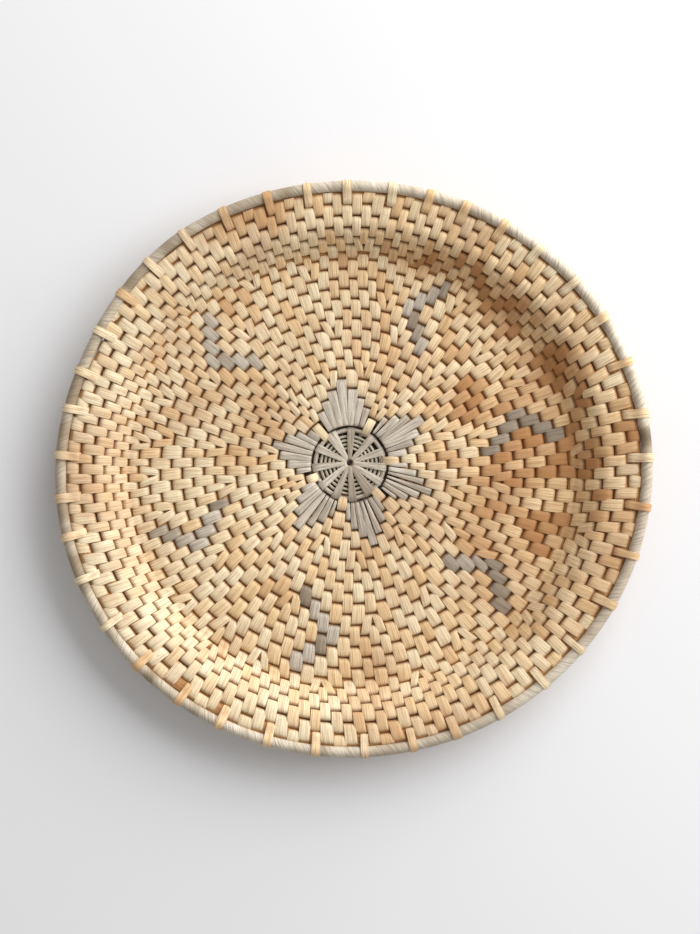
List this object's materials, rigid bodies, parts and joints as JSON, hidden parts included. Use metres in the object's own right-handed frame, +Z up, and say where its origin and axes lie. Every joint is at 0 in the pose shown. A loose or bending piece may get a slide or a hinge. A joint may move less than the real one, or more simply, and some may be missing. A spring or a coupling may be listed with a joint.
{
  "type": "coiled sweetgrass basket",
  "caption": "Shallow round coiled grass basket with a flat base, sloping wall, flared lip, lashed rim ring, grey star and stepped figures.",
  "frame": {"origin": "middle of the bounding box at the flat standing face under the base", "axes": "+Z up out of the tray; +Y towards the top of the picture, +X to its right"},
  "size_m": [0.3671, 0.3547, 0.0323],
  "materials": {
    "grass_coil": "dry golden grass coil wrapped in flat straw splint, matt with a slight sheen",
    "straw_splint": "flat cream straw splint with fine lengthwise fibres",
    "grey_splint": "flat grey-dyed splint with fine lengthwise fibres",
    "grey_strand": "fine grey-beige strand wound closely round the rim"
  },
  "bodies": {
    "root": {"base_coil": "grass_coil", "centre_wrap": "grey_splint", "rim_lashing_01": "straw_splint", "rim_lashing_02": "straw_splint", "rim_lashing_03": "straw_splint", "rim_lashing_04": "straw_splint", "rim_lashing_05": "straw_splint", "rim_lashing_06": "straw_splint", "rim_lashing_07": "straw_splint", "rim_lashing_08": "straw_splint", "rim_lashing_09": "straw_splint", "rim_lashing_10": "straw_splint", "rim_lashing_11": "straw_splint", "rim_lashing_12": "straw_splint", "rim_lashing_13": "straw_splint", "rim_lashing_14": "straw_splint", "rim_lashing_15": "straw_splint", "rim_lashing_16": "straw_splint", "rim_lashing_17": "straw_splint", "rim_lashing_18": "straw_splint", "rim_lashing_19": "straw_splint", "rim_lashing_20": "straw_splint", "rim_lashing_21": "straw_splint", "rim_lashing_22": "straw_splint", "rim_lashing_23": "straw_splint", "rim_lashing_24": "straw_splint", "rim_lashing_25": "straw_splint", "rim_lashing_26": "straw_splint", "rim_lashing_27": "straw_splint", "rim_lashing_28": "straw_splint", "rim_lashing_29": "straw_splint", "rim_lashing_30": "straw_splint", "rim_lashing_31": "straw_splint", "rim_lashing_32": "straw_splint", "rim_lashing_33": "straw_splint", "rim_lashing_34": "straw_splint", "rim_lashing_35": "straw_splint", "rim_lashing_36": "straw_splint", "rim_lashing_37": "straw_splint", "rim_lashing_38": "straw_splint", "rim_lashing_39": "straw_splint", "rim_ring": "grey_strand", "star_petal_1": "grey_splint", "star_petal_2": "grey_splint", "star_petal_3": "grey_splint", "star_petal_4": "grey_splint", "star_petal_5": "grey_splint", "star_petal_6": "grey_splint", "start_coil": "grey_splint", "start_ring": "grey_splint", "stepped_figure_1": "grey_splint", "stepped_figure_2": "grey_splint", "stepped_figure_3": "grey_splint", "stepped_figure_4": "grey_splint", "stepped_figure_5": "grey_splint", "stepped_figure_6": "grey_splint", "wall_coil": "grass_coil"}
  },
  "joints": []
}
